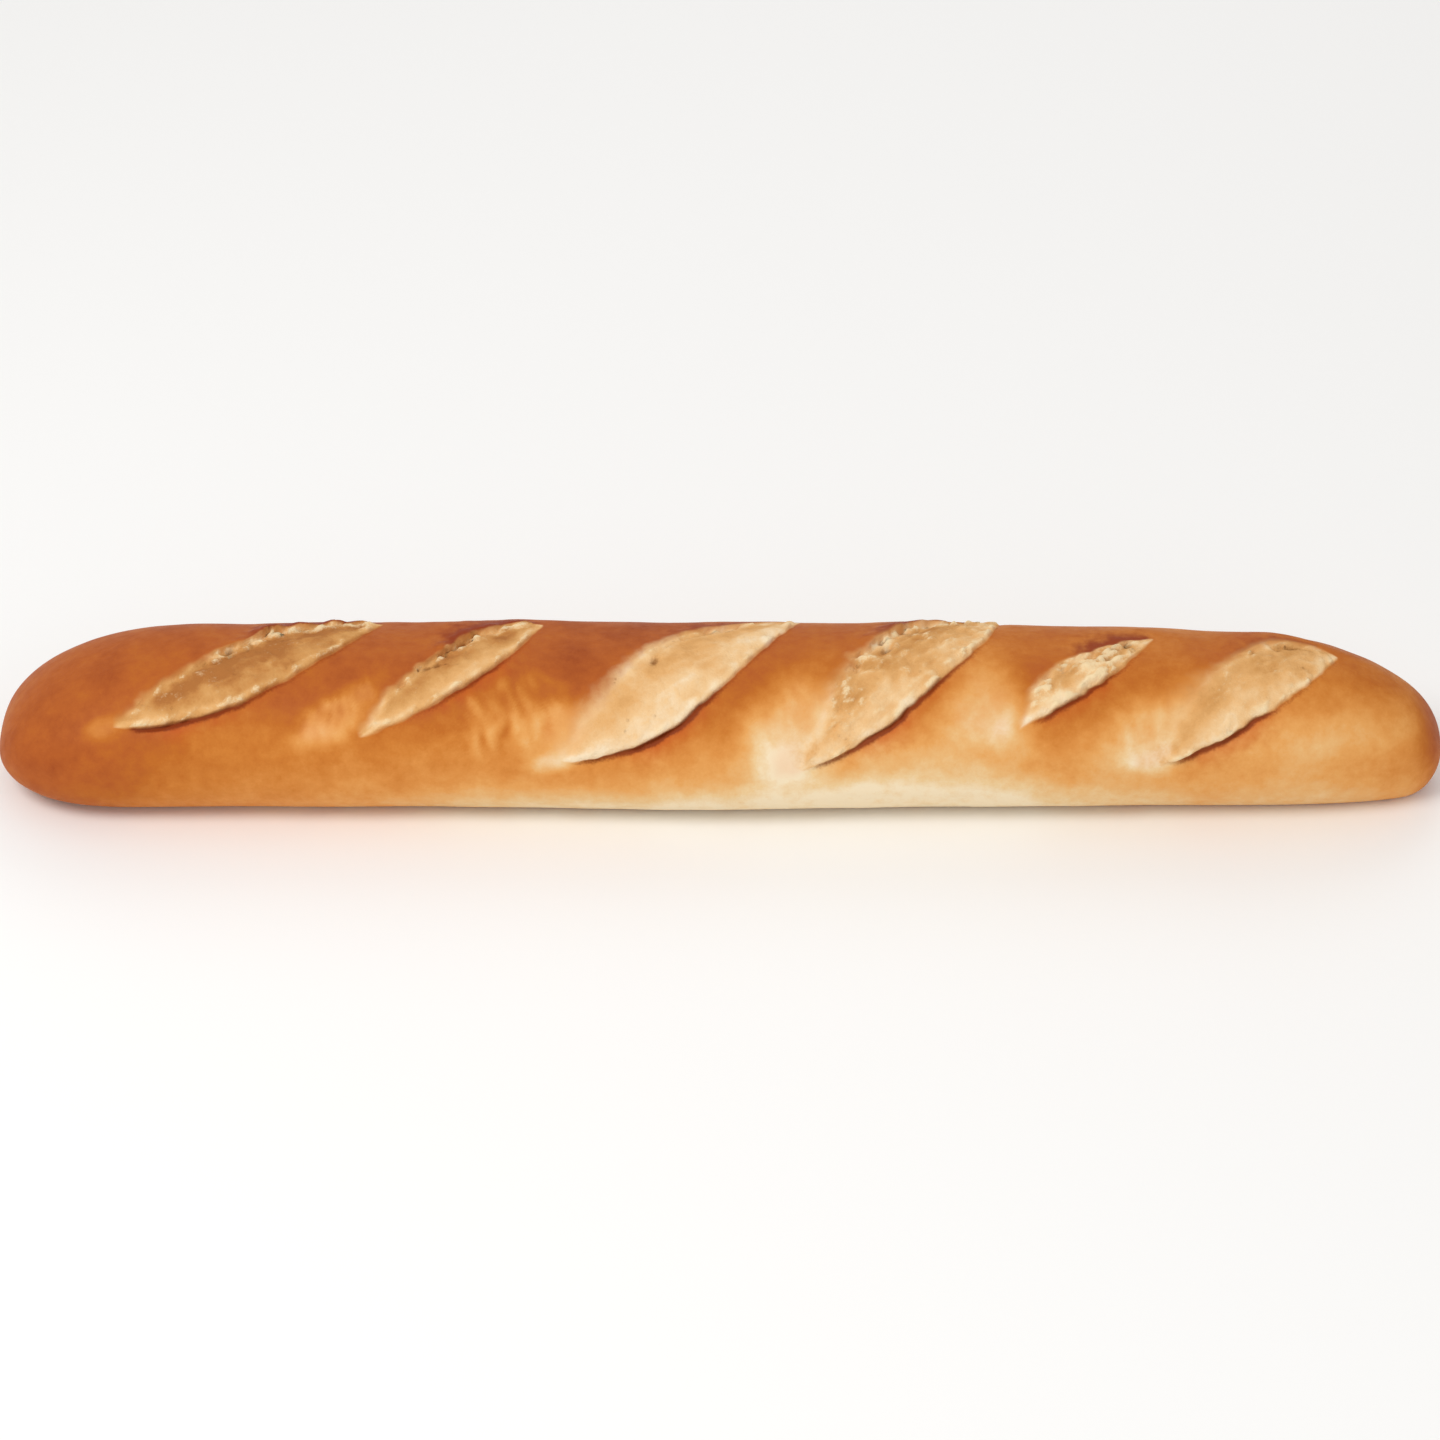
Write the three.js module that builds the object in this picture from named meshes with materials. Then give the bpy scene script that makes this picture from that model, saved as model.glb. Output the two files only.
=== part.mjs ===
// A plain wheat baguette, baked as one piece: flat underneath where it lay on the oven deck,
// domed on top, with six slanting cuts across the crown that opened and swelled in the oven.
// Millimetres and +Z up. X runs along the loaf, -Y is the side that the cuts reach down furthest,
// and the origin is under the middle of the loaf, on the surface that it rests on.
import * as THREE from 'three';

// Driving dimensions of the whole loaf.
const loafLength = 540;
const loafWidth = 76;
const loafHeight = 57;

// The section: a dome above its widest line, and a flank that turns in to the flat base below it.
const widestHeight = 0.46 * loafHeight;
const domeRoundness = 2.1; // exponent of a superellipse, where 2 is an ellipse
const flankRoundness = 2.5;
const flankReach = 1.12; // the flank's own depth over the height it has, so that the base cuts it off flat

// How far from each tip the loaf starts to narrow, seen from above, from the side and from below.
const planTaper = { left: 65, right: 180, roundness: 2.8 };
const crownTaper = { left: 90, right: 75, roundness: 2 };
const baseTaper = { left: 45, right: 15, roundness: 2 };
const tipHeight = 15;

// A baked loaf is never quite straight or even.
const rightEndBend = { start: 140, length: 130, towardsFront: 5 };
const slimmerRight = { start: -40, length: 220, share: 0.02 };
const frontBulge = { x: -10, length: 60, depth: 3 };

// Where each cut is centred: x along the loaf and girth round it from the crown, front side negative.
// slant is its angle from the loaf's length, in degrees.
const cuts = [
  { x: -175, girth: -5, length: 115, width: 28, slant: 30 },
  { x: -100, girth: -12, length: 90, width: 18, slant: 40 },
  { x: -15, girth: -12, length: 120, width: 34, slant: 40 },
  { x: 65, girth: -8, length: 120, width: 32, slant: 50 },
  { x: 135, girth: -15, length: 70, width: 16, slant: 40 },
  { x: 195, girth: -24, length: 90, width: 28, slant: 40 },
];
const girthRadius = 35; // mean radius of the dome, which turns an angle round it into a length
const bloomSwell = 1.0; // the opened dough stands this proud between the cut's two edges
const lip = { height: 1.3, halfWidth: 2.6, outside: 1.5 }; // torn edge on the left of the cut
const groove = { depth: 2.2, halfWidth: 2.0 }; // fold under the right edge

// The mesh: rings from tip to tip, leaning along the cuts so that their edges follow the rings.
const ringCount = 106;
const roundCount = 42;
const crownCrowding = 0.45; // 0 spaces the points of a ring evenly, 1 leaves none under the base
const tipCrowding = 0.08; // share of the length over which the rings draw together at a tip
const ringLean = { reach: 52, sharpness: 0.9, centre: THREE.MathUtils.degToRad(113), fade: 130 };

// 1 along the loaf's body, falling to 0 at its tips on a superellipse.
function taper(x, { left, right, roundness }) {
  const fromLeft = 1 - (x + loafLength / 2) / left;
  const fromRight = 1 - (loafLength / 2 - x) / right;
  const into = THREE.MathUtils.clamp(Math.max(fromLeft, fromRight), 0, 1);
  return Math.pow(1 - Math.pow(into, roundness), 1 / roundness);
}

// Station of a ring, from 1 at the right tip to -1 at the left, with rings closer near both tips.
function ringStation(share) {
  const fromTip = 1 - Math.abs(share);
  const inset = (fromTip * fromTip * (1 + tipCrowding)) / (fromTip + tipCrowding);
  return (Math.sign(share) * (1 - inset) * loafLength) / 2;
}

// Angle round the section: 0 at the back, 90 degrees at the crown, 180 at the front.
function roundAngle(share) {
  const crowded = share + (crownCrowding * Math.sin(2 * Math.PI * share)) / (2 * Math.PI);
  return 2 * Math.PI * crowded - Math.PI / 2;
}

// How far a ring leans along X at an angle: a rounded triangle wave, upright again at the tips.
function leanOf(station, angle) {
  const { reach, sharpness, centre, fade } = ringLean;
  const wave = Math.asin(sharpness * Math.sin(centre - angle)) / Math.asin(sharpness);
  const upright = THREE.MathUtils.smoothstep(loafLength / 2 - Math.abs(station), 0, fade);
  return reach * wave * upright;
}

// Height of the cuts' relief above the plain loaf: lip, swollen dough and groove, side by side.
function cutRelief(x, girth) {
  let relief = 0;
  for (const cut of cuts) {
    const slant = THREE.MathUtils.degToRad(cut.slant);
    const dx = x - cut.x;
    const dGirth = girth - cut.girth;
    const along = (dx * Math.cos(slant) + dGirth * Math.sin(slant)) / (cut.length / 2);
    if (Math.abs(along) >= 1) continue;
    const across = dx * Math.sin(slant) - dGirth * Math.cos(slant);
    const open = 1 - along * along;
    const halfWidth = (cut.width / 2) * Math.pow(open, 0.7);
    const bump = (offset, spread) => Math.exp(-((offset / spread) ** 2));
    relief += bloomSwell * open * Math.max(0, 1 - (across / halfWidth) ** 2);
    relief += lip.height * open * bump(across + halfWidth + lip.outside, lip.halfWidth);
    relief -= groove.depth * Math.sqrt(open) * bump(across - halfWidth, groove.halfWidth);
  }
  return relief;
}

// A point of the plain loaf, without its cuts.
function plainPoint(x, angle) {
  const even = 1 - slimmerRight.share * THREE.MathUtils.smoothstep(x, slimmerRight.start,
    slimmerRight.start + slimmerRight.length);
  const crown = taper(x, crownTaper);
  const top = tipHeight + (loafHeight * even - tipHeight) * crown;
  const bottom = tipHeight * (1 - taper(x, baseTaper));
  const widest = tipHeight + (widestHeight * even - tipHeight) * crown;
  const halfWidth = (loafWidth / 2) * even * taper(x, planTaper);
  const above = Math.sin(angle) >= 0;
  const power = 2 / (above ? domeRoundness : flankRoundness);
  const sideways = Math.sign(Math.cos(angle)) * Math.pow(Math.abs(Math.cos(angle)), power);
  const upright = Math.pow(Math.abs(Math.sin(angle)), power);
  const z = above
    ? widest + (top - widest) * upright
    : Math.max(bottom, widest - (widest - bottom) * flankReach * upright);
  const bend = rightEndBend.towardsFront
    * THREE.MathUtils.smoothstep(x, rightEndBend.start, rightEndBend.start + rightEndBend.length);
  const low = Math.max(0, -Math.cos(angle)) * THREE.MathUtils.smoothstep(-Math.sin(angle), -0.4, 0.5);
  const bulge = frontBulge.depth * low * Math.exp(-(((x - frontBulge.x) / frontBulge.length) ** 2));
  return new THREE.Vector3(x, sideways * halfWidth - bend - bulge, z);
}

// The plain point moved out along the section's own normal by the cuts' relief.
function loafPoint(x, angle) {
  const point = plainPoint(x, angle);
  const girth = girthRadius * (Math.PI / 2 - angle);
  const relief = cutRelief(x, girth);
  const step = 0.02;
  const tangent = plainPoint(x, angle + step).sub(plainPoint(x, angle - step));
  const outward = new THREE.Vector3(0, tangent.z, -tangent.y).normalize();
  return point.addScaledVector(outward, relief);
}

// A sphere whose points are moved on to the loaf: its poles are the tips, and its seam the base line.
function loafGeometry() {
  const geometry = new THREE.SphereGeometry(1, roundCount, ringCount);
  const position = geometry.attributes.position;
  const uv = geometry.attributes.uv;
  for (let i = 0; i < position.count; i++) {
    const station = ringStation(2 * uv.getY(i) - 1);
    const angle = roundAngle(uv.getX(i));
    const x = station + leanOf(station, angle);
    const point = loafPoint(x, angle);
    position.setXYZ(i, point.x, point.y, point.z);
  }
  geometry.computeBoundingBox();
  const { min, max } = geometry.boundingBox;
  geometry.translate(-(min.x + max.x) / 2, -(min.y + max.y) / 2, -min.z);
  geometry.computeVertexNormals();
  return geometry;
}

const crust = new THREE.MeshStandardMaterial({ color: 0xcb7d3c, roughness: 0.5, metalness: 0 });

const loaf = new THREE.Mesh(loafGeometry(), crust);
loaf.name = 'loaf';

const baguette = new THREE.Group();
baguette.name = 'baguette';
baguette.add(loaf);

export default baguette;
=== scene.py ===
# A plain wheat baguette on a pale floor. Lengths in the settings are millimetres, and the mesh is put
# into Blender in metres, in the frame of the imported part.
import math
from types import SimpleNamespace
import bpy
import numpy as np
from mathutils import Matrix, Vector


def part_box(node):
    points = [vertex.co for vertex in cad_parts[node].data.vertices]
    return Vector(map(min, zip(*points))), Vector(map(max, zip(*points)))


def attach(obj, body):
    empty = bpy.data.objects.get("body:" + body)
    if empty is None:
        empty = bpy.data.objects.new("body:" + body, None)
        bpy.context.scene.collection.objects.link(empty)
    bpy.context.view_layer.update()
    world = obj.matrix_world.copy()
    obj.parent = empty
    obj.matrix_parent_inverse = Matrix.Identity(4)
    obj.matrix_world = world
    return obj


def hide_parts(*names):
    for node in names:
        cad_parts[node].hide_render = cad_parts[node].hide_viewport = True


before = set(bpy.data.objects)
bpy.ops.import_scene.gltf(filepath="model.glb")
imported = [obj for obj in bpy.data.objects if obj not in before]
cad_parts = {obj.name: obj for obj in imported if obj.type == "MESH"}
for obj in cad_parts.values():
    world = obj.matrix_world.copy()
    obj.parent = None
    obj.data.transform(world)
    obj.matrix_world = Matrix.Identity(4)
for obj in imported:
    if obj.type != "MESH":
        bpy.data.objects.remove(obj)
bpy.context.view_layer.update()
lowCorner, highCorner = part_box("loaf")
mm = 0.001
lengthOfLoaf, widthOfLoaf, heightOfLoaf = ((highCorner - lowCorner) / mm)
print("frame loaded, the loaf's box is %.0f x %.0f x %.0f mm" % (lengthOfLoaf, widthOfLoaf, heightOfLoaf))


def toLinear(hexColour):
    # an sRGB hex colour as linear red, green, blue and alpha
    values = [int(hexColour[i:i + 2], 16) / 255 for i in (1, 3, 5)]
    return [v / 12.92 if v <= 0.04045 else ((v + 0.055) / 1.055) ** 2.4 for v in values] + [1.0]


def addNode(tree, kind, settings, inputs, output=None):
    # Adds a node and gives back its named output, or else the first one in use. settings are the node's
    # own properties, with a ramp's colours under "stops". inputs are values, hex colours or sockets.
    node = tree.nodes.new(kind)
    for name, value in settings.items():
        if name == "stops":
            elements = node.color_ramp.elements
            while len(elements) < len(value):
                elements.new(1.0)
            for element, (position, colour) in zip(elements, value):
                element.position = position
                element.color = toLinear(colour)
        else:
            setattr(node, name, value)
    for name, value in inputs.items():
        if isinstance(value, bpy.types.NodeSocket):
            tree.links.new(value, node.inputs[name])
        else:
            node.inputs[name].default_value = toLinear(value) if isinstance(value, str) else value
    if output:
        return node.outputs[output]
    return next((socket for socket in node.outputs if socket.enabled), None)


def emptyMaterial(name):
    material = bpy.data.materials.new(name)
    material.use_nodes = True
    material.node_tree.nodes.clear()
    return material, material.node_tree


cameraSettings = {
    "elevation": 36,  # degrees above the horizon
    "distance": 2020,
    "lens": 135,
    "aim": (0, -2, 25),
}


def makeCamera():
    data = bpy.data.cameras.new("camera")
    data.lens = cameraSettings["lens"]
    data.sensor_width = 36
    data.clip_end = 20
    camera = bpy.data.objects.new("camera", data)
    rise = math.radians(cameraSettings["elevation"])
    back = Vector((0, -math.cos(rise), math.sin(rise)))
    camera.location = (Vector(cameraSettings["aim"]) + back * cameraSettings["distance"]) * mm
    camera.rotation_euler = back.to_track_quat("Z", "Y").to_euler()
    bpy.context.scene.collection.objects.link(camera)
    bpy.context.scene.camera = camera


floorSettings = {"size": 12000, "colour": "#FBFAF8", "roughness": 0.6}


def makeFloor():
    half = floorSettings["size"] * mm / 2
    corners = [(-half, -half, 0), (half, -half, 0), (half, half, 0), (-half, half, 0)]
    mesh = bpy.data.meshes.new("floor")
    mesh.from_pydata(corners, [], [(0, 1, 2, 3)])
    floor = bpy.data.objects.new("floor", mesh)
    bpy.context.scene.collection.objects.link(floor)
    material, tree = emptyMaterial("mattWhitePaint")  # a painted board, too matt to mirror the loaf
    paint = addNode(tree, "ShaderNodeBsdfPrincipled", {}, {
        "Base Color": floorSettings["colour"], "Roughness": floorSettings["roughness"]})
    addNode(tree, "ShaderNodeOutputMaterial", {}, {"Surface": paint})
    mesh.materials.append(material)


lightSettings = {
    "worldColour": "#FFFFFF",
    "worldStrength": 0.62,
    "aim": (0, 0, 20),
    # each lamp: place, size in mm, watts
    "lamps": {
        "key": ((-900, -700, 1500), 900, 14),
        "fill": ((900, -1500, 700), 1400, 4),
        "back": ((300, 1300, 1100), 900, 2.5),
    },
}


def makeLights():
    world = bpy.data.worlds.new("studio")
    world.use_nodes = True
    background = world.node_tree.nodes["Background"]
    background.inputs["Color"].default_value = toLinear(lightSettings["worldColour"])
    background.inputs["Strength"].default_value = lightSettings["worldStrength"]
    bpy.context.scene.world = world
    aim = Vector(lightSettings["aim"])
    for name, (place, size, watts) in lightSettings["lamps"].items():
        data = bpy.data.lights.new(name, "AREA")
        data.shape = "DISK"
        data.size = size * mm
        data.energy = watts
        light = bpy.data.objects.new(name, data)
        light.location = Vector(place) * mm
        light.rotation_euler = (Vector(place) - aim).to_track_quat("Z", "Y").to_euler()
        bpy.context.scene.collection.objects.link(light)
    bpy.context.scene.view_settings.view_transform = "Standard"


makeCamera()
makeFloor()
makeLights()
print("camera, floor and lights made")

loafSettings = {
    # the body
    "reliefSide": 0.8,  # how far lips and swellings stand out of the plain body on each side
    "reliefTop": 1.0,
    "widestShare": 0.46,  # height of the widest line over the loaf's height
    "domeRoundness": 2.1,  # superellipse exponent above the widest line
    "flankRoundness": 2.5,
    "flankReach": 1.12,  # over 1, so that the floor cuts the flank off flat
    "tipHeight": 15,
    # each taper: length at the left end, length at the right end, superellipse exponent
    "planTaper": (65, 180, 2.8),
    "crownTaper": (90, 75, 2),
    "baseTaper": (45, 15, 2),
    "rightBend": (140, 270, 5),  # from x, to x, and how far towards the front
    "slimmerRight": (-40, 180, 0.02),
    "frontBulge": (-10, 60, 3),  # x, reach, how far out
    "lumps": ((70, 0.9, 11), (26, 0.35, 12), (9, 0.12, 13)),  # each: size, height, seed
    # the mesh
    "rings": 636,
    "round": 156,
    "crownCrowding": 0.42,  # 0 spaces a ring's points evenly, 1 leaves none under the base
    "tipCrowding": 0.06,
    "leanReach": 50,  # rings lean along the cuts by this much over the crown
    "leanSharpness": 0.9,
    "leanCentre": 113,  # degrees round the section
    "leanFade": 130,
    "drawReach": 4.5,  # rings are drawn towards the cuts' edges from this far
    "drawShare": 0.55,
    # the crumb in the cuts
    "crumbSize": 3.0,  # torn crumbs stand one to a cell of this size
    "crumbHeight": 1.8,
    "ridges": ((6.5, 1.0, 45), (3.2, 1.0, 46)),  # of the torn webs; the second row is the finer one
    "ridgeHeight": 1.1,
    "ridgeStretch": 1.6,  # how much longer the webs are along the cut
    "pocketRadius": (0.8, 1.9),
    "pocketDepth": 1.6,
    "lipReach": 4.2,  # how far outside its edge a lip starts to rise
    "lipLean": 0.7,  # share of its height that a lip leans over the crumb
    "foldReach": 4.0,  # how far beyond the fold the crust slopes up again
    "earHeight": 0.9,  # the crust beside a cut's upper half is lifted by this much
    "earPlace": (9, 8),  # how far outside the left edge it is highest, and its reach
    "caramelReach": 8.5,  # how far out from the lip the caramelised crust fades
    "shadowBelowFoldReach": 7.0,  # how far out from the fold the reddish painted shadow fades
    "mostYoung": 1.4,  # where patches of young crust overlap, they add up to no more than this
    "flatBase": 7.0,  # the relief fades in over this height, so that the base stays flat
    "meanSlant": 40,  # degrees, about that of every cut, for the lean of lips and folds
    "creaseDepth": 0.35,  # of the wrinkles in the stretched crust
}

# Each cut: its middle at x and girth (arc from the crown, front side negative), its slant in degrees,
# half its length, and its two edges. An edge is its reach from the axis, where along the cut that is
# (-1 at the lower tip, 1 at the upper) and its fullness. Then its character: lip height, how torn its
# left and right edges are and how far in from the left one, how crumbly its middle is, depth of the
# fold under the right edge, how far the crumb sinks at the left and swells at the right, how baked it
# is, softness of the left edge, where along it the fold is deepest, and its number of pockets.
# young is the crust that stretched open late, in oval patches: x and girth from the lower tip, the
# longer and shorter reach, the turn of the longer one in degrees, how pale it is and how wrinkled.
cuts = [
    {"x": -175, "girth": -5, "slant": 30, "half": 57.5, "left": (11, 0.3, 1.5),
     "right": (18, -0.1, 2.2), "lip": 1.7, "torn": (1.0, 0.6), "tornReach": 3.0, "crumbly": 0.20,
     "fold": 1.6, "sink": 2.2, "swell": 0.6, "bake": 0.91, "soft": 0.5, "deepest": -0.62, "pockets": 13,
     "young": [(-1, 0, 9, 5, 20, 0.65, 0.1), (-6, -9, 10, 7, 60, 0.35, 0.2)]},
    {"x": -100, "girth": -12, "slant": 40, "half": 45, "left": (11, 0.4, 2.0),
     "right": (9, 0.1, 2.2), "lip": 1.5, "torn": (0.95, 0.6), "tornReach": 2.8, "crumbly": 0.16,
     "fold": 0.9, "sink": 1.8, "swell": 0.5, "bake": 0.72, "soft": 0.4, "deepest": 0.10, "pockets": 5,
     "young": [(-6, 11, 21, 9, 42, 0.75, 0.9), (-14, 0, 10, 7, 10, 0.45, 0.5),
               (-2, -5, 6, 4, 80, 0.3, 0.2)]},
    {"x": -15, "girth": -12, "slant": 40, "half": 60, "left": (17, 0.1, 1.6),
     "right": (17, -0.2, 2.0), "lip": 0.5, "torn": (0.45, 0.6), "tornReach": 3.0, "crumbly": 0.12,
     "fold": 1.5, "sink": 1.2, "swell": 1.1, "bake": 0.40, "soft": 1.3, "deepest": -0.45, "pockets": 5,
     "young": [(-20, 20, 28, 17, 20, 0.45, 1.0), (-4, 0, 10, 5, 5, 0.7, 0.2),
               (2, 12, 19, 12, 45, 0.65, 0.4)]},
    {"x": 65, "girth": -8, "slant": 50, "half": 60, "left": (15, 0.2, 1.7),
     "right": (18, 0.3, 2.6), "lip": 1.2, "torn": (0.95, 0.45), "tornReach": 4.6, "crumbly": 0.36,
     "fold": 1.4, "sink": 1.5, "swell": 1.0, "bake": 0.57, "soft": 1.3, "deepest": -0.25, "pockets": 11,
     "young": [(1, 16, 29, 19, 60, 0.9, 0.5), (-6, 1, 9, 6, 60, 0.35, 0.1)]},
    {"x": 135, "girth": -15, "slant": 40, "half": 35, "left": (11, -0.1, 1.7),
     "right": (5, 0.1, 1.6), "lip": 0.8, "torn": (0.8, 0.8), "tornReach": 3.5, "crumbly": 0.60,
     "fold": 1.2, "sink": 1.0, "swell": 0.7, "bake": 0.56, "soft": 0.5, "deepest": -0.30, "pockets": 7,
     "young": [(-9, -4, 40, 17, 95, 0.95, 0.2), (-5, -2, 11, 5, 70, 0.35, 0.0)]},
    {"x": 195, "girth": -24, "slant": 40, "half": 45, "left": (19, 0.5, 2.6),
     "right": (9, 0.3, 2.0), "lip": 0.1, "torn": (0.35, 0.7), "tornReach": 3.0, "crumbly": 0.24,
     "fold": 1.2, "sink": 0.4, "swell": 0.9, "bake": 0.54, "soft": 2.4, "deepest": -0.30, "pockets": 5,
     "young": [(0, 15, 26, 17, 35, 0.70, 0.6), (-3, 3, 12, 6, 10, 0.4, 0.3),
               (58, 2, 18, 12, 20, 0.4, 0.5)]},
]

# Unevenness of the cuts: each row is size, height, seed. "leftEdge", "rightEdge", "patchy", "lip" and
# "fold" change along a cut and not across it.
cutNoises = {
    "leftEdge": ((11.0, 1.3, 32), (4.5, 0.9, 33)),
    "rightEdge": ((9.0, 0.6, 34), (4.0, 0.3, 35)),
    "ragged": ((3.4, 1.0, 30), (1.7, 0.45, 31)),
    "patchy": ((8.0, 0.6, 36),),
    "warpAlong": ((4.5, 1.5, 37), (1.9, 0.7, 57)),
    "warpAcross": ((2.6, 1.2, 58),),
    "grit": ((7.0, 0.45, 41), (3.4, 0.26, 42), (1.8, 0.12, 43)),
    "lip": ((5.0, 0.7, 38),),
    "fold": ((13.0, 0.4, 39),),
    "bake": ((9.0, 0.14, 47),),
    "paleEdges": ((4.0, 0.6, 48),),
    "driftAlong": ((13.0, 3.6, 53), (6.0, 1.8, 55)),
    "driftRound": ((11.0, 3.2, 56),),
    "creaseBend": ((12.0, 3.6, 54),),
    "creases": ((1.0, 1.0, 51), (0.5, 0.5, 52)),
}
creaseSize = (3.6, 9.0)  # of the wrinkles, along the loaf and round it
noiseSpacing = 40.0  # a cut's noise lies this far from the next one's, so that no two are alike


def smooth(value, start, end):
    # 0 before start, 1 after end, and 3t^2 - 2t^3 between them
    t = np.clip((value - start) / (end - start), 0, 1)
    return t * t * (3 - 2 * t)


def bell(value, reach):
    # exp(-(value/reach)^2)
    return np.exp(-((value / reach) ** 2))


def valueNoise(place, rows):
    # For each row of size, height and seed: random values from -1 to 1 on a cubic lattice of cells of
    # that size, turned a random way, blended between a cell's eight corners and times the height.
    total = 0
    for size, height, seed in rows:
        random = np.random.default_rng(seed)
        lattice = random.uniform(-1, 1, (64, 64, 64))
        turned = place @ np.linalg.qr(random.normal(size=(3, 3)))[0] / size
        cell = np.floor(turned)
        t = turned - cell
        t = t * t * t * (t * (6 * t - 15) + 10)
        cell = cell.astype(int)
        for corner in np.ndindex(2, 2, 2):
            weight = np.prod(np.abs(1 - np.array(corner) - t), axis=-1)
            i, j, k = np.moveaxis((cell + corner) % 64, -1, 0)
            total = total + height * weight * lattice[i, j, k]
    return total


def scatter(u, v, size, seed):
    # One point at random in each square cell: distance to the nearest point, in cells, and that point's
    # own random value from 0 to 1.
    random = np.random.default_rng(seed)
    points = random.uniform(0, 1, (64, 64, 3))
    column, row = np.floor(u / size).astype(int), np.floor(v / size).astype(int)
    nearest, own = np.full_like(u, 9.0), np.zeros_like(u)
    for i in (-1, 0, 1):
        for j in (-1, 0, 1):
            point = points[(column + i) % 64, (row + j) % 64]
            away = np.hypot(column + i + point[..., 0] - u / size, row + j + point[..., 1] - v / size)
            own = np.where(away < nearest, point[..., 2], own)
            nearest = np.minimum(nearest, away)
    return nearest, own


def taper(x, settings):
    # 1 along the body and 0 at the tips, (1 - into^n)^(1/n) where into runs from 0 to 1 over the taper
    left, right, roundness = settings
    half = lengthOfLoaf / 2
    into = np.clip(np.maximum(1 - (x + half) / left, 1 - (half - x) / right), 0, 1)
    return np.maximum(1 - into ** roundness, 0) ** (1 / roundness)


def plainLoaf(x, angle):
    # A section's points: half width times |cos|^(2/n) sideways; above the widest line the dome's height
    # times |sin|^(2/n), below it the flank's depth times |sin|^(2/n), cut off flat at the base.
    shape = loafSettings
    width = widthOfLoaf - 2 * shape["reliefSide"]
    height = heightOfLoaf - shape["reliefTop"]
    start, end, share = shape["slimmerRight"]
    even = 1 - share * smooth(x, start, end)
    crown = taper(x, shape["crownTaper"])
    tip = shape["tipHeight"]
    top = tip + (height * even - tip) * crown
    bottom = tip * (1 - taper(x, shape["baseTaper"]))
    widest = tip + (shape["widestShare"] * height * even - tip) * crown
    halfWidth = width / 2 * even * taper(x, shape["planTaper"])
    cosine, sine = np.cos(angle), np.sin(angle)
    power = 2 / np.where(sine >= 0, shape["domeRoundness"], shape["flankRoundness"])
    sideways = np.sign(cosine) * np.abs(cosine) ** power
    upright = np.abs(sine) ** power
    flank = np.maximum(bottom, widest - (widest - bottom) * shape["flankReach"] * upright)
    z = np.where(sine >= 0, widest + (top - widest) * upright, flank)
    start, end, towardsFront = shape["rightBend"]
    middle, reach, depth = shape["frontBulge"]
    lowFront = np.maximum(0, -cosine) * smooth(-sine, -0.4, 0.5)
    bend = towardsFront * smooth(x, start, end)
    y = sideways * halfWidth - bend - depth * lowFront * bell(x - middle, reach)
    return np.stack([x, y, z], axis=-1)


def girthOf(angle):
    # arc length round the middle section from the crown, positive at the back and negative in front
    fine = np.linspace(-math.pi / 2, 1.5 * math.pi, 2001)
    section = plainLoaf(np.zeros_like(fine), fine)
    arc = np.concatenate([[0], np.cumsum(np.linalg.norm(np.diff(section, axis=0), axis=1))])
    return np.interp(math.pi / 2, fine, arc) - np.interp(angle, fine, arc)


def edgeReach(along, edge):
    # distance of an edge from the cut's axis: reach (1 - q^fullness), q from 0 at the peak to 1 at a tip
    reach, peak, fullness = edge
    q = np.where(along < peak, (peak - along) / (1 + peak), (along - peak) / (1 - peak))
    return reach * (1 - np.clip(q, 0, 1) ** fullness)


def inCut(cut, x, girth):
    # along runs from -1 to 1 between the tips, across is mm from the axis, and the distances inside the
    # left and right edges are in mm, negative outside them
    slant = math.radians(cut["slant"])
    dx, dGirth = x - cut["x"], girth - cut["girth"]
    along = (dx * math.cos(slant) + dGirth * math.sin(slant)) / cut["half"]
    across = dx * math.sin(slant) - dGirth * math.cos(slant)
    past = np.maximum(np.abs(along) - 1, 0) * cut["half"]
    left = across + edgeReach(along, cut["left"]) - past
    right = edgeReach(along, cut["right"]) - across - past
    return along, across, left, right


def makeGrid():
    # Stations run from tip to tip and angles round the section, both crowded where the detail is. A ring
    # leans on a rounded triangle wave round the loaf, along the cuts, and stands upright at the tips.
    grid = loafSettings
    share = np.linspace(-1, 1, grid["rings"] + 1)[1:-1]
    fromTip = 1 - np.abs(share)
    inset = fromTip ** 2 * (1 + grid["tipCrowding"]) / (fromTip + grid["tipCrowding"])
    station = np.sign(share) * (1 - inset) * lengthOfLoaf / 2
    turn = np.arange(grid["round"]) / grid["round"]
    crowded = turn + grid["crownCrowding"] * np.sin(2 * math.pi * turn) / (2 * math.pi)
    station, angle = np.meshgrid(station, 2 * math.pi * crowded - math.pi / 2, indexing="ij")
    wave = np.arcsin(grid["leanSharpness"] * np.sin(math.radians(grid["leanCentre"]) - angle))
    wave = wave / math.asin(grid["leanSharpness"])
    upright = smooth(lengthOfLoaf / 2 - np.abs(station), 0, grid["leanFade"])
    x = station + grid["leanReach"] * wave * upright
    girth = girthOf(angle)
    # Each edge draws the rings in: x moves by -share s exp(-(s/reach)^2), s being the distance to it.
    for cut in cuts:
        slant = math.radians(cut["slant"])
        for side, direction in ((2, -1), (3, 1)):
            found = inCut(cut, x, girth)
            inside = smooth(1 - np.abs(found[0]), 0.02, 0.25)
            pull = found[side] * bell(found[side], grid["drawReach"]) * inside * grid["drawShare"]
            x = x + direction * pull / math.sin(slant)
    return x, angle, girth


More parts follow.
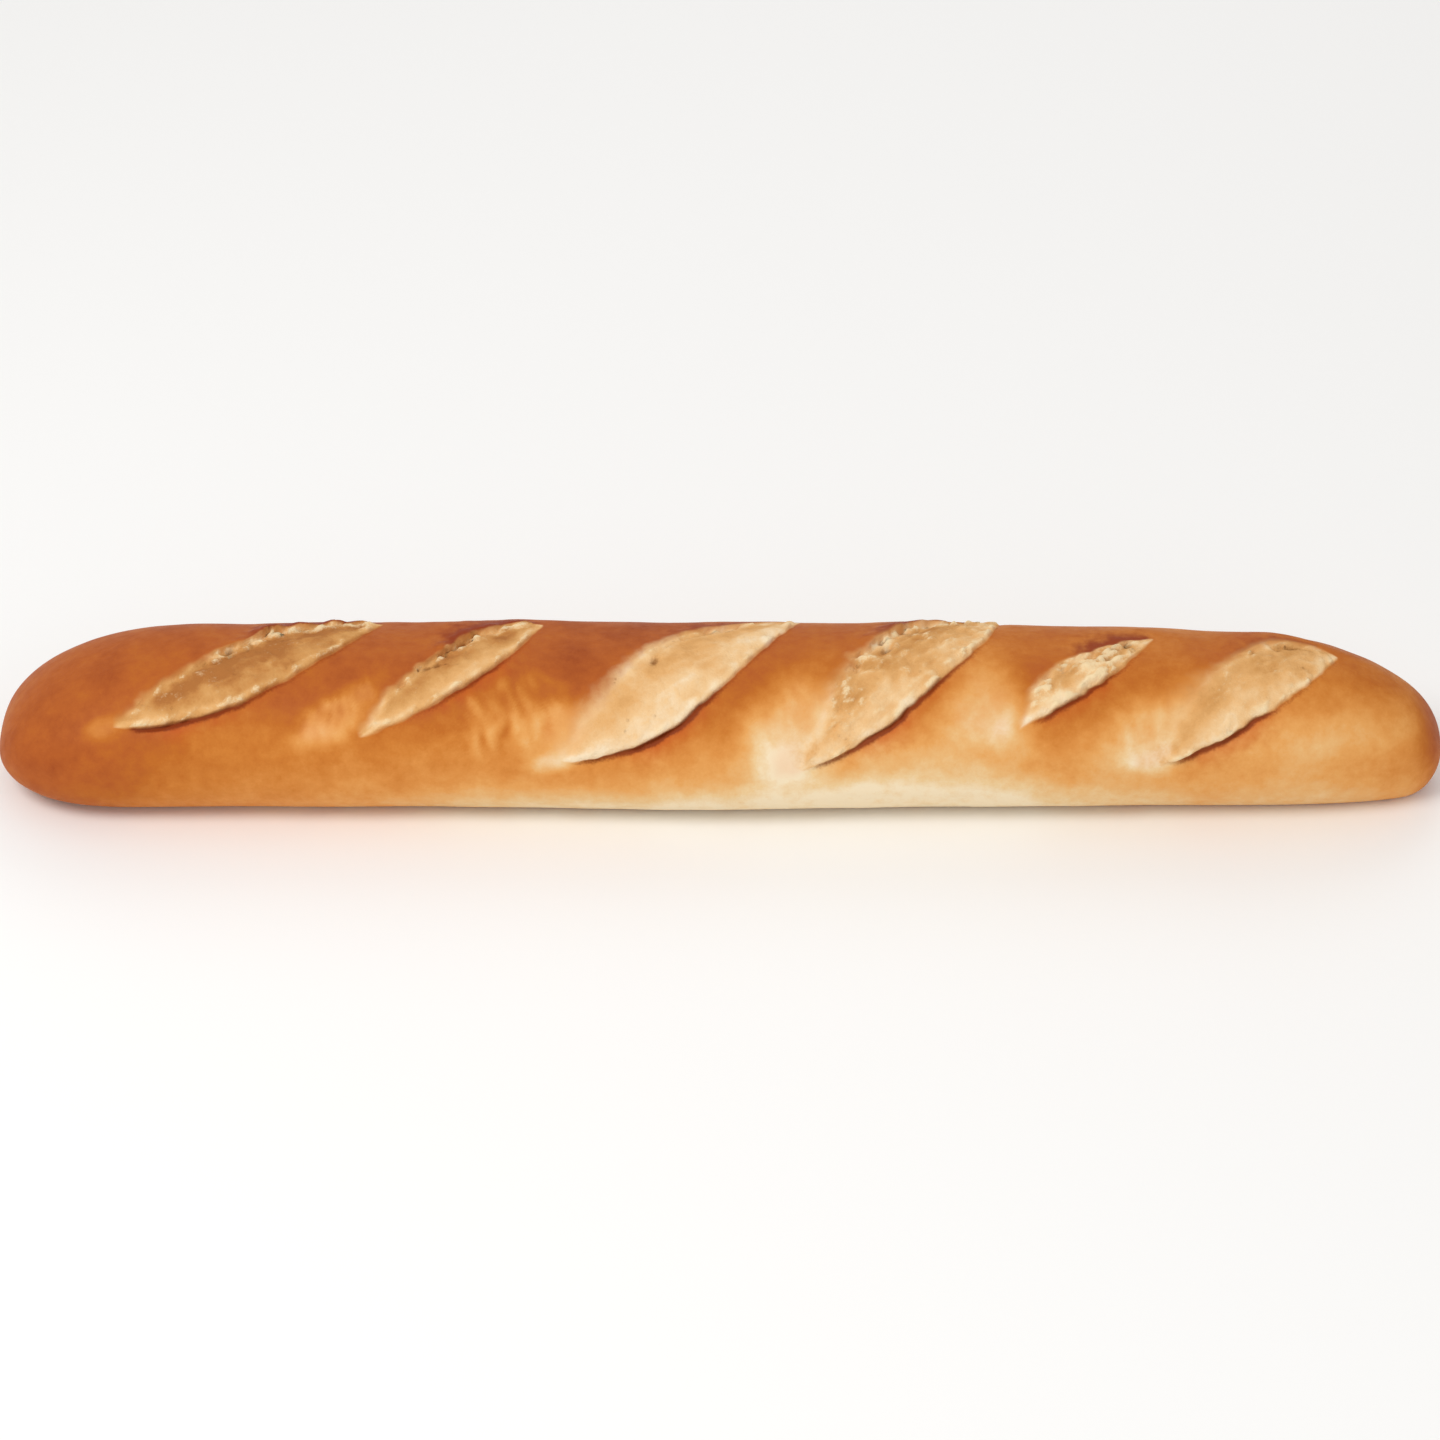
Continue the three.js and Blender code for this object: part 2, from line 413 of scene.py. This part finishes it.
def pockets(cut, along, left, seed):
    # Round and oval pits in the crumb near the left edge: each is a bell exp(-(distance/radius)^2),
    # and the deepest one counts. Their places are drawn once from a fixed seed.
    random = np.random.default_rng(seed)
    smallest, largest = loafSettings["pocketRadius"]
    depth = np.zeros_like(left)
    for n in range(cut["pockets"]):
        at = random.uniform(-0.45, 0.8)
        inside = 1.2 + 6.5 * random.uniform() ** 1.8
        radius = random.uniform(smallest, largest)
        longer = random.uniform(1.0, 2.2)
        distance = np.hypot((along - at) * cut["half"] / longer, left - inside)
        depth = np.maximum(depth, bell(distance, radius) * radius / largest)
    return depth


def measureCut(cut, number, x, girth, place):
    # Where every point lies in one cut: inCut's measures with ragged edges, and shares worked from them.
    tornLeft, tornRight = cut["torn"]
    along, across, left, right = inCut(cut, x, girth)
    lengthwise = along * cut["half"]
    own = np.full_like(x, noiseSpacing * number)
    line = np.stack([lengthwise, own, np.zeros_like(x)], axis=-1)
    ragged = valueNoise(place, cutNoises["ragged"])
    left = left + tornLeft * (valueNoise(line, cutNoises["leftEdge"]) + ragged)
    right = right + valueNoise(line, cutNoises["rightEdge"]) + 0.6 * tornRight * ragged
    opened = smooth(edgeReach(along, cut["left"]) + edgeReach(along, cut["right"]), 1.0, 9.0)
    return SimpleNamespace(
        along=along, across=across, left=left, right=right, lengthwise=lengthwise, own=own, line=line,
        share=np.clip(left / np.maximum(left + right, 0.1), 0, 1),  # 0 at the left edge, 1 at the right
        opened=opened * smooth(1 - np.abs(along), 0.0, 0.12),  # 0 where the cut closes at its tips
        lower=smooth(-along, -0.15, 0.8),
        upper=smooth(along, -0.45, 0.25),
    )


def tearCrumb(cut, number, at, place):
    # Adds to the cut's measures how torn the crumb is: the band of crumbs along its edges, each torn
    # bit and web in it, and the holes and pits.
    look = loafSettings
    tornLeft, tornRight = cut["torn"]
    softness = 0.35 + cut["soft"] * (1 + 3.5 * at.lower) * smooth(at.right - at.left, -6, 6)
    pastTips = 5 * smooth(np.abs(at.along), 0.93, 1.08)
    at.edge = np.minimum(at.left / softness, at.right / 0.7) - pastTips
    at.inside = smooth(at.edge, -0.4, 1.4) * at.opened
    patchy = 1 + valueNoise(at.line, cutNoises["patchy"])
    leftBand = tornLeft * (0.35 + 0.65 * at.upper) * bell(at.left - 1.6, cut["tornReach"]) * patchy
    rightBand = 0.8 * tornRight * bell(at.right - 1.0, 2.0)
    at.band = np.clip(leftBand + rightBand + cut["crumbly"] * patchy, 0, 1)

    # a bit is a dome 1 - (distance/0.65)^2 on a cell's own point, and some cells have a hole instead
    u = at.lengthwise / 1.4 + valueNoise(place, cutNoises["warpAlong"])
    v = at.across + valueNoise(place, cutNoises["warpAcross"])
    nearest, own = scatter(u, v, look["crumbSize"], 80 + number)
    at.bit = np.maximum(1 - (nearest / 0.65) ** 2, 0) * smooth(own, 0.25, 0.85)
    holeShare = np.clip(leftBand + 0.5 * cut["crumbly"], 0, 1)
    at.hole = smooth(own, 0.34, 0.20) * smooth(nearest, 0.62, 0.2) * holeShare
    at.pits = pockets(cut, at.along, at.left, 70 + number) * smooth(at.edge, 0.3, 1.2) * at.opened

    # a web stands where its noise crosses 0: (1 - 2.4 |noise|)^1.5
    stretched = np.stack([at.lengthwise / look["ridgeStretch"], at.across, at.own], axis=-1)
    coarse, fine = (np.clip(1 - 2.4 * np.abs(valueNoise(stretched, (row,))), 0, 1) ** 1.5
                    for row in look["ridges"])
    at.ridge = 0.6 * coarse + 0.4 * fine
    at.rough = 1 - 0.6 * at.lower


def crumbRelief(cut, at, place):
    # sunk beside the lip and swollen towards the fold, with the torn crumb on top
    look = loafSettings
    crumb = -cut["sink"] * (1 - 0.7 * at.lower) * (1 - at.share) ** 1.5
    swelling = np.sin(math.pi * at.share ** 1.3) ** 0.8 + 0.3 * smooth(at.share, 0.3, 0.8)
    crumb = crumb + cut["swell"] * swelling
    crumb = crumb * (1 - 0.7 * smooth(at.along, 0.45, 1.0))
    crumb = crumb + (0.5 + 0.5 * cut["torn"][0]) * at.rough * valueNoise(place, cutNoises["grit"])
    crumb = crumb + look["crumbHeight"] * (at.band * at.bit - at.hole) - look["pocketDepth"] * at.pits
    return crumb + look["ridgeHeight"] * at.rough * (0.2 + 0.8 * at.band) * (at.ridge - 0.3)


def raiseLip(cut, at, height, shift):
    # crust lifted towards the left edge, leaning over the crumb
    look = loafSettings
    lip = cut["lip"] * at.upper * at.opened * (1 + cut["torn"][0] * valueNoise(at.line, cutNoises["lip"]))
    outside, within = bell(at.left - 0.1, look["lipReach"]), bell(at.left - 0.1, 0.5)
    height = height + lip * np.where(at.left < 0.1, outside, within)
    shift = shift + look["lipLean"] * lip * bell(at.left + 0.3, 1.1) * smooth(at.right, 0, 2)
    earMiddle, earReach = look["earPlace"]
    ear = look["earHeight"] * bell(at.left + earMiddle, earReach)
    height = height + ear * smooth(at.along, 0.1, 0.6) * smooth(at.along, 1.5, 0.9)
    return height, shift


def pressFold(cut, at, height, shift):
    # a crevice under the right edge, with the crust sloping up again beyond it
    deepest = 0.25 + 0.85 * bell(at.along - cut["deepest"], 0.5)
    at.uneven = (1 + valueNoise(at.line, cutNoises["fold"])) * deepest
    at.fold = cut["fold"] * at.opened * smooth(at.left, 0, 3) * at.uneven
    height = height - 0.4 * at.fold * bell(at.right + 0.5, 0.9)
    outside, within = bell(at.right, loafSettings["foldReach"]), bell(at.right, 0.8)
    height = height - 0.6 * at.fold * np.where(at.right < 0, outside, within)
    shift = shift + 0.35 * at.fold * bell(at.right - 0.7, 1.0)
    return height, shift


def markCrumb(cut, at, place, masks):
    # bake is dark near the crumb's middle and pale along its torn edges and its webs; bloom is how far
    # inside the edge a point lies
    bake = cut["bake"] + 0.13 * bell(at.share - 0.36, 0.24) - 0.12 * bell(at.share - 0.75, 0.2)
    bake = bake - 0.12 * at.lower
    paleLeft = 0.26 * cut["torn"][0] * bell(at.left - 1.6, 2.2)
    paleRight = 0.20 * bell(at.right - 1.6, 1.8)
    bake = bake - (0.8 + valueNoise(place, cutNoises["paleEdges"])) * (paleLeft + paleRight)
    paleWebs = (0.10 + 0.3 * at.band) * at.rough * (at.ridge - 0.3)
    bake = bake + valueNoise(place, cutNoises["bake"]) - paleWebs
    masks["bake"] = np.where(at.edge > masks["bloom"], bake, masks["bake"])
    masks["bloom"] = np.maximum(masks["bloom"], np.clip(at.edge, -8, 8))
    masks["bit"] = np.maximum(masks["bit"], np.maximum(at.bit, 0.8 * at.ridge) * at.band * at.inside)
    # painted shade in the crumb's holes and pockets
    masks["pore"] = np.maximum(masks["pore"], np.maximum(at.pits, 0.9 * at.hole * at.inside))


def markCrust(cut, at, masks):
    # painted shade in the fold, caramel that fades out from the lip, and a reddish painted shadow on the
    # crust below the fold, partly the crust's own redness there
    masks["fold"] = np.maximum(masks["fold"], at.fold / 1.1 * bell(at.right + 0.9, 1.7))
    faded = np.exp(np.minimum(at.left, 0) / loafSettings["caramelReach"])
    beside = smooth(-at.left, -0.8, 0.6) * faded * smooth(at.right, 0, 3)
    caramel = beside * smooth(at.along, -0.15, 0.4) * smooth(at.along, 1.2, 0.8)
    masks["caramel"] = np.maximum(masks["caramel"], caramel * (0.25 + 0.75 * cut["torn"][0]))
    faded = np.exp(np.minimum(at.right, 0) / loafSettings["shadowBelowFoldReach"])
    below = smooth(-at.right, -0.2, 0.8) * faded * smooth(at.left, -2, 5)
    glow = below * smooth(1.05 - np.abs(at.along), 0, 0.45) * at.uneven
    masks["glow"] = np.maximum(masks["glow"], glow)


def markYoungCrust(cut, at, x, girth, place, masks):
    # oval patches round the cut's lower tip, drifting with noise and stopping at its right edge
    slant = math.radians(cut["slant"])
    tipX = cut["x"] - cut["half"] * math.cos(slant)
    tipGirth = cut["girth"] - cut["half"] * math.sin(slant)
    besideCut = smooth(at.right / (4 + 14 * smooth(-at.along, 0.3, 1.0)), -1, 0.2)
    driftAlong = valueNoise(place, cutNoises["driftAlong"])
    driftRound = valueNoise(place, cutNoises["driftRound"])
    for dx, dGirth, longer, shorter, turn, paleness, wrinkling in cut["young"]:
        cosine, sine = math.cos(math.radians(turn)), math.sin(math.radians(turn))
        u = x - tipX - dx + driftAlong
        v = girth - tipGirth - dGirth + driftRound
        reach = np.hypot((u * cosine + v * sine) / longer, (v * cosine - u * sine) / shorter)
        patch = besideCut * smooth(reach, 1.3, 0.35)
        masks["young"] = np.minimum(masks["young"] + paleness * patch, loafSettings["mostYoung"])
        masks["wrinkle"] = np.maximum(masks["wrinkle"], wrinkling * patch)


def openCut(cut, number, x, girth, place, height, shift, masks):
    # one cut's crumb, lip and fold over the height so far, its shift across the cut, and its masks
    at = measureCut(cut, number, x, girth, place)
    tearCrumb(cut, number, at, place)
    height = height * (1 - 0.6 * at.inside) + crumbRelief(cut, at, place) * at.inside
    height, shift = raiseLip(cut, at, height, shift)
    height, shift = pressFold(cut, at, height, shift)
    markCrumb(cut, at, place, masks)
    markCrust(cut, at, masks)
    markYoungCrust(cut, at, x, girth, place, masks)
    return height, shift


def makeRelief(x, girth, place):
    # Height over the plain body, shift across the cuts, and the masks that the material reads.
    height = valueNoise(place, loafSettings["lumps"])
    shift = np.zeros_like(x)
    # fold, pore and glow carry painted shade: in the folds, in the crumb's holes and below the folds
    names = ("fold", "bit", "pore", "caramel", "glow", "young", "wrinkle")
    masks = {name: np.zeros_like(x) for name in names}
    masks["bloom"] = np.full_like(x, -8.0)
    masks["bake"] = np.full_like(x, 0.4)
    for number, cut in enumerate(cuts):
        height, shift = openCut(cut, number, x, girth, place, height, shift, masks)
    # stretched crust: short wavy wrinkles that run round the loaf
    wavy = x + 0.25 * girth + valueNoise(place, cutNoises["creaseBend"])
    wrinkles = np.stack([wavy / creaseSize[0], girth / creaseSize[1], np.zeros_like(x)], axis=-1)
    wrinkles = valueNoise(wrinkles, cutNoises["creases"])
    masks["wrinkle"] = masks["wrinkle"] * wrinkles * smooth(masks["bloom"], 1, -1)
    height = height + loafSettings["creaseDepth"] * masks["wrinkle"]
    return height, shift, masks


browningSettings = {
    # 0 is pale dough and 1 nearly burnt
    "flank": 0.51,
    "crown": 0.71,
    "under": 0.50,
    "leftEnd": (130, 262, 0.21),  # from and to this far left of the middle, browning added
    "rightFlank": (-70, 90, -0.23),  # from x, to x, browning added
    "rightCrown": (-60, 110, -0.12),
    "rightEnd": (212, 262, 0.16),
    "rightTip": (254, 269, 0.36),
    "foot": -0.13,
    "paleFoot": (-160, -45, 75, 150, 0.37),  # x where it starts, is full, still full and ends; browning off
    "young": 0.31,  # browning taken away where the crust is young
    # x, girth, their reaches, browning added
    "patches": ((-157, -75, 30, 26, -0.13), (228, -32, 24, 22, -0.16), (85, -45, 26, 24, -0.05),
                (28, -42, 26, 20, -0.06), (124, -38, 15, 22, 0.07), (180, -55, 26, 24, 0.11)),
    "blotches": ((50, 0.045, 61), (19, 0.045, 62)),
}


def makeBrowning(x, girth, plain, masks):
    # browning rises from the foot to the crown and towards the left end, and is less in young crust
    look = browningSettings
    heightShare = plain[..., 2] / heightOfLoaf
    crownShare = smooth(heightShare, 0.55, 0.98)
    start, end, more = look["rightFlank"]
    flank = look["flank"] + more * smooth(x, start, end) + look["foot"] * smooth(heightShare, 0.5, 0.1)
    start, end, more = look["rightCrown"]
    crown = look["crown"] + more * smooth(x, start, end)
    browning = flank + (crown - flank) * crownShare
    start, end, more = look["leftEnd"]
    browning = browning + more * smooth(-x, start, end) * (1 - 0.8 * crownShare)
    for start, end, more in (look["rightEnd"], look["rightTip"]):
        browning = browning + more * smooth(x, start, end)
    start, full, stillFull, end, less = look["paleFoot"]
    front = smooth(-plain[..., 1], -10, 15)
    paleFoot = smooth(x, start, full) * smooth(x, end, stillFull) * smooth(heightShare, 0.70, 0.03) * front
    browning = browning - less * paleFoot
    browning = browning + (look["under"] - browning) * smooth(plain[..., 2], 1.2, 0.1)
    for middle, middleGirth, reach, reachGirth, more in look["patches"]:
        away = np.hypot((x - middle) / reach, (girth - middleGirth) / reachGirth)
        browning = browning + more * bell(away, 1)
    browning = browning + valueNoise(plain, look["blotches"])
    return np.clip(browning - look["young"] * masks["young"], 0, 1)


def outwardNormals(place):
    # unit normals of a closed grid by the cross product of its two central differences
    alongRings = np.gradient(place, axis=0)
    roundRings = (np.roll(place, -1, axis=1) - np.roll(place, 1, axis=1)) / 2
    normal = np.cross(roundRings, alongRings)
    return normal / np.maximum(np.linalg.norm(normal, axis=-1, keepdims=True), 1e-9)


def closedGridFaces(rings, around):
    # quads between neighbouring rings, and a fan of triangles to a pole at each tip
    index = np.arange(rings * around).reshape(rings, around)
    beside = np.roll(index, -1, axis=1)
    quads = np.stack([index[:-1], beside[:-1], beside[1:], index[1:]], axis=-1).reshape(-1, 4)
    leftPole, rightPole = rings * around, rings * around + 1
    leftFan = np.stack([np.full(around, leftPole), beside[0], index[0]], axis=-1)
    rightFan = np.stack([np.full(around, rightPole), index[-1], beside[-1]], axis=-1)
    return quads, np.concatenate([leftFan, rightFan])


def addBakeMap(mesh, rings, around):
    # A map of two charts, one above the other: the left half of the length and the right half. u runs
    # with the rings and v round the section, both by count, so that crowded detail gets more room.
    margin = 0.01
    wide, high = 1 - 2 * margin, 0.5 - 2 * margin
    chart = (np.arange(rings - 1) >= rings // 2).astype(int)
    first = chart * (rings // 2)
    last = np.where(chart, rings - 1, rings // 2)
    step = np.array([0, 0, 1, 1])  # a quad's corners: on this ring twice, then on the next ring twice
    u = (np.arange(rings - 1)[:, None] + step - first[:, None]) / (last - first)[:, None]
    v = (np.arange(around)[:, None] + np.array([0, 1, 1, 0])) / around
    u = np.broadcast_to(u[:, None, :], (rings - 1, around, 4))
    v = np.broadcast_to(v[None, :, :], (rings - 1, around, 4))
    up = margin + high * v + 0.5 * chart[:, None, None]
    quads = np.stack([margin + wide * u, up], axis=-1).reshape(-1, 2)
    turn = np.arange(around) / around
    after = turn + 1 / around
    middle = (turn + after) / 2
    edge = np.zeros(around)
    near, far = edge + margin, 1 - margin - edge
    left = np.stack([edge, middle, near, after, near, turn], axis=-1).reshape(-1, 2)
    right = np.stack([1 - edge, middle, far, turn, far, after], axis=-1).reshape(-1, 2)
    left[:, 1] = margin + high * left[:, 1]
    right[:, 1] = 0.5 + margin + high * right[:, 1]
    layer = mesh.uv_layers.new(name="OFBake")
    layer.uv.foreach_set("vector", np.concatenate([quads, left, right]).astype(np.float32).ravel())


def loafVertices(plain, height, shift):
    # The plain body moved out along its normals by the height and across the cuts by the shift. Each
    # pole is the mean of its outermost ring, and the whole is centred and set on the floor.
    normal = outwardNormals(plain)
    offBase = smooth(plain[..., 2], 0.0, loafSettings["flatBase"])
    lengthwise = np.array([1.0, 0.0, 0.0])
    downwards = np.cross(lengthwise, normal)  # round the section, towards the front
    slant = math.radians(loafSettings["meanSlant"])
    across = lengthwise * math.sin(slant) + downwards * math.cos(slant)
    place = plain + normal * (height * offBase)[..., None] + across * (shift * offBase)[..., None]
    poles = np.array([place[0].mean(axis=0), place[-1].mean(axis=0)])
    vertices = np.concatenate([place.reshape(-1, 3), poles])
    lowest, highest = vertices.min(axis=0), vertices.max(axis=0)
    vertices[:, :2] -= (lowest + highest)[:2] / 2
    vertices[:, 2] -= lowest[2]
    return vertices


def makeLoaf():
    x, angle, girth = makeGrid()
    plain = plainLoaf(x, angle)
    height, shift, masks = makeRelief(x, girth, plain)
    masks["browning"] = makeBrowning(x, girth, plain, masks)
    vertices = loafVertices(plain, height, shift)
    quads, fans = closedGridFaces(*x.shape)
    mesh = bpy.data.meshes.new("crustyLoaf")
    mesh.from_pydata((vertices * mm).tolist(), [], quads.tolist() + fans.tolist())
    mesh.polygons.foreach_set("use_smooth", np.ones(len(mesh.polygons), bool))
    addBakeMap(mesh, *x.shape)
    for name, values in masks.items():
        ends = [values[0].mean(), values[-1].mean()]
        layer = mesh.attributes.new(name, "FLOAT", "POINT")
        layer.data.foreach_set("value", np.concatenate([values.ravel(), ends]).astype(np.float32))
    loaf = bpy.data.objects.new("crustyLoaf", mesh)
    bpy.context.scene.collection.objects.link(loaf)
    print("loaf meshed,", len(mesh.polygons), "faces")
    return loaf


breadSettings = {
    # colours, from pale to dark
    "browned": ((0.0, "#F4E1BF"), (0.1, "#ECCB98"), (0.2, "#E8B677"), (0.3, "#E4A35B"), (0.4, "#DA9046"),
                (0.5, "#CC7D33"), (0.6, "#BE6B25"), (0.7, "#B35D25"), (0.8, "#A24E20"), (0.9, "#7F3516"),
                (1.0, "#5A2210")),
    "crumb": ((0.0, "#F6DFBC"), (0.25, "#EFC793"), (0.5, "#E3AE70"), (0.7, "#D29A5B"), (0.85, "#C4874A"),
              (1.0, "#B0713A")),
    # noises, centred on 0 and running to about 0.3 each way: size of a feature in mm, and detail
    "noises": {"blotch": (13, 3.0), "mottle": (4.0, 4.0), "grain": (0.9, 2.0)},
    "pitSize": 4.5,
    "pitEdge": (0.22, 0.04),  # distance from a pit's middle, in pits, where it starts and is deepest
    "pitPatches": (-0.02, 0.10),  # blotch below which there are no pits, and above which they are full
    "crumbEdge": (-1.2, 1.2),  # where the crumb's finish starts and is full, as bloom measures
    # weighted sums of the mesh's masks and the noises; the two heights are in mm
    "sums": {
        "tone": {"browning": 1.0, "blotch": 0.22, "mottle": 0.14, "grain": 0.06, "wrinkle": -0.13},
        "flushed": {"young": 1.0, "blotch": 1.0},
        # painted shadow below the fold
        "glowing": {"glow": 1.0, "mottle": 0.5},
        "caramelised": {"caramel": 1.0, "mottle": 0.6},
        "baked": {"bake": 1.0, "blotch": 0.45, "mottle": 0.28, "grain": 0.14},
        "torn": {"bit": 1.0, "grain": 0.7},
        # painted shade in the pores and pits
        "pitted": {"pore": 1.0, "pit": 0.55, "grain": 0.6},
        # painted shade in the folds
        "folded": {"fold": 1.0, "grain": 0.5},
        "opened": {"bloom": 1.0, "mottle": 1.5, "grain": 0.4},
        "crustHeight": {"mottle": 0.20, "grain": 0.05},
        "crumbHeight": {"mottle": 0.6, "grain": 0.25, "pit": -0.25},
    },
    # layers of colour: what lies under it, the sum it follows, where it starts and is full, its most
    "layers": (
        ("crust", "flushed", 0.5, 1.4, 0.30, "#E8A474"),
        # reddish painted shadow on the crust below each fold, partly the crust's own redness
        ("crust", "glowing", 0.16, 1.0, 0.65, "#C2531C"),
        ("crust", "caramelised", 0.16, 0.68, 0.9, "#8C3413"),
        # painted shade in the folds, on the crust
        ("crust", "folded", 0.15, 0.95, 0.85, "#7C3012"),
        ("crumb", "torn", 0.15, 0.75, 0.85, "#F6DDB0"),
        # painted shade in the crumb's holes, pockets and pits
        ("crumb", "pitted", 0.2, 1.1, 0.9, "#855428"),
        # painted shade where the crumb meets the fold
        ("crumb", "folded", 0.3, 1.1, 0.7, "#8E4A1E"),
    ),
    "crustRoughness": (0.46, 0.60),
    "crumbRoughness": 0.85,
    "specularLevel": 0.12,
}


def breadFields(tree):
    # the mesh's masks, the noises, the pits and the weighted sums of them, each as a socket
    look = breadSettings
    coordinates = addNode(tree, "ShaderNodeTexCoord", {}, {}, "Object")
    field = {}
    # three of these masks carry painted shade: in the folds, in the crumb's holes and on the crust below
    # the folds
    for name in ("browning", "bloom", "bake", "bit", "pore", "fold", "caramel", "glow", "young", "wrinkle"):
        field[name] = addNode(tree, "ShaderNodeAttribute", {"attribute_name": name}, {}, "Fac")
    for name, (size, detail) in look["noises"].items():
        value = addNode(tree, "ShaderNodeTexNoise", {}, {
            "Vector": coordinates, "Scale": 1 / (size * mm), "Detail": detail}, "Fac")
        field[name] = addNode(tree, "ShaderNodeMath", {"operation": "SUBTRACT"}, {0: value, 1: 0.5})
    # pits in the crumb: one to a cell, and only in patches; they dent the crumb's bump and carry painted
    # shade
    cells = addNode(tree, "ShaderNodeTexVoronoi", {}, {
        "Vector": coordinates, "Scale": 1 / (look["pitSize"] * mm)})
    start, full = look["pitEdge"]
    pit = addNode(tree, "ShaderNodeMapRange", {"interpolation_type": "SMOOTHSTEP"}, {
        "Value": cells, "From Min": start, "From Max": full})
    start, full = look["pitPatches"]
    patch = addNode(tree, "ShaderNodeMapRange", {"interpolation_type": "SMOOTHSTEP"}, {
        "Value": field["blotch"], "From Min": start, "From Max": full})
    field["pit"] = addNode(tree, "ShaderNodeMath", {"operation": "MULTIPLY"}, {0: pit, 1: patch})
    for name, terms in look["sums"].items():
        value = 0.0
        for term, weight in terms.items():
            value = addNode(tree, "ShaderNodeMath", {"operation": "MULTIPLY_ADD"}, {
                0: field[term], 1: weight, 2: value})
        field[name] = value
    return field


def breadColours(tree, field):
    # the crust's colour and the crumb's, each a ramp with layers of colour mixed over it
    look = breadSettings
    colours = {
        "crust": addNode(tree, "ShaderNodeValToRGB", {"stops": look["browned"]}, {"Fac": field["tone"]}),
        "crumb": addNode(tree, "ShaderNodeValToRGB", {"stops": look["crumb"]}, {"Fac": field["baked"]}),
    }
    for under, follows, start, full, most, colour in look["layers"]:
        share = addNode(tree, "ShaderNodeMapRange", {"interpolation_type": "SMOOTHSTEP"}, {
            "Value": field[follows], "From Min": start, "From Max": full, "To Max": most})
        colours[under] = addNode(tree, "ShaderNodeMix", {"data_type": "RGBA"}, {
            0: share, 6: colours[under], 7: colour})
    return colours


def bakedBread():
    # Baked wheat dough. The crust is browned, thin and faintly glossy; the crumb in the cuts is tan, matt
    # and rough; the torn crumbs along their edges are the palest. The folds and the crumb's pores are
    # darkened with painted shade, and a reddish painted shadow lies on the crust below each fold.
    look = breadSettings
    material, tree = emptyMaterial("bakedBread")
    field = breadFields(tree)
    colours = breadColours(tree, field)
    start, full = look["crumbEdge"]
    inCrumb = addNode(tree, "ShaderNodeMapRange", {"interpolation_type": "SMOOTHSTEP"}, {
        "Value": field["opened"], "From Min": start, "From Max": full})
    colour = addNode(tree, "ShaderNodeMix", {"data_type": "RGBA"}, {
        0: inCrumb, 6: colours["crust"], 7: colours["crumb"]})
    lowest, highest = look["crustRoughness"]
    crustRough = addNode(tree, "ShaderNodeMapRange", {}, {
        "Value": field["mottle"], "From Min": -0.3, "From Max": 0.3, "To Min": lowest, "To Max": highest})
    rough = addNode(tree, "ShaderNodeMix", {}, {0: inCrumb, 2: crustRough, 3: look["crumbRoughness"]})
    height = addNode(tree, "ShaderNodeMix", {}, {
        0: inCrumb, 2: field["crustHeight"], 3: field["crumbHeight"]})
    bumped = addNode(tree, "ShaderNodeBump", {}, {"Distance": mm, "Height": height})
    shader = addNode(tree, "ShaderNodeBsdfPrincipled", {}, {
        "Base Color": colour, "Roughness": rough, "Normal": bumped, "IOR": 1.45,
        "Specular IOR Level": look["specularLevel"]})
    addNode(tree, "ShaderNodeOutputMaterial", {}, {"Surface": shader})
    return material


loaf = makeLoaf()
loaf.data.materials.append(bakedBread())
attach(loaf, "root")
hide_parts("loaf")
print("loaf finished")
